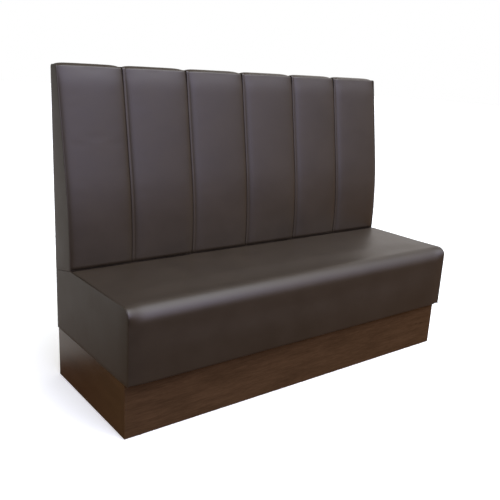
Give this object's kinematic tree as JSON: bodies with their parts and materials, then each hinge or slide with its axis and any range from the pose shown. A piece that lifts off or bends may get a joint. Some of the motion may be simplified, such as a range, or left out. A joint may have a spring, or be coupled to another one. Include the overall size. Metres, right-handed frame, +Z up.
{
  "type": "restaurant booth bench",
  "caption": "Freestanding restaurant booth bench with a high channelled back, a padded waterfall seat and a recessed wood plinth.",
  "frame": {"origin": "on the floor, at the middle of the overall footprint in width and depth", "axes": "+X along the width, to the right seen from the front, +Y from the front of the seat to the rear face, +Z up"},
  "size_m": [1.53, 0.568, 1.145],
  "materials": {
    "leather_cover": "semi-gloss dark brown upholstery vinyl with a fine leather grain",
    "plinth_laminate": "satin dark walnut laminate with a fine horizontal grain",
    "plywood": "raw birch plywood",
    "softwood": "planed pine",
    "hardboard": "smooth hardboard",
    "upholstery_foam": "cut polyurethane foam",
    "zinc_steel": "bright zinc plate",
    "glide_nylon": "black nylon"
  },
  "bodies": {
    "root": {"back_channel_1": "leather_cover", "back_channel_2": "leather_cover", "back_channel_3": "leather_cover", "back_channel_4": "leather_cover", "back_channel_5": "leather_cover", "back_channel_6": "leather_cover", "back_coach_screws": "zinc_steel", "back_foam_sheet": "upholstery_foam", "back_front_panel": "plywood", "back_middle_rail": "softwood", "back_outside_cover": "leather_cover", "back_rear_panel": "hardboard", "back_side_cover_left": "leather_cover", "back_side_cover_right": "leather_cover", "back_sole_rail": "softwood", "back_top_rail": "softwood", "back_upright_1": "plywood", "back_upright_2": "plywood", "back_upright_3": "plywood", "back_upright_4": "plywood", "back_upright_5": "plywood", "back_washers": "zinc_steel", "back_welt_1": "leather_cover", "back_welt_2": "leather_cover", "back_welt_3": "leather_cover", "back_welt_4": "leather_cover", "back_welt_5": "leather_cover", "floor_glides": "glide_nylon", "plinth_batten_front": "softwood", "plinth_batten_rear": "softwood", "plinth_corner_blocks": "softwood", "plinth_edge_band_left": "plinth_laminate", "plinth_edge_band_right": "plinth_laminate", "plinth_end_board_left": "plinth_laminate", "plinth_end_board_right": "plinth_laminate", "plinth_front_board": "plinth_laminate", "plinth_rear_board": "plywood", "plinth_rib_1": "plywood", "plinth_rib_2": "plywood", "plinth_rib_3": "plywood", "seat_box_end_board_left": "plywood", "seat_box_end_board_right": "plywood", "seat_box_front_board": "plywood", "seat_box_rail_front": "softwood", "seat_box_rail_rear": "softwood", "seat_box_rear_board": "plywood", "seat_box_rib_1": "plywood", "seat_box_rib_2": "plywood", "seat_box_rib_3": "plywood", "seat_box_screws": "zinc_steel", "seat_cover": "leather_cover", "seat_deck": "plywood", "seat_foam": "upholstery_foam", "seat_front_pad": "upholstery_foam", "seat_side_cover_left": "leather_cover", "seat_side_cover_right": "leather_cover"}
  },
  "joints": []
}
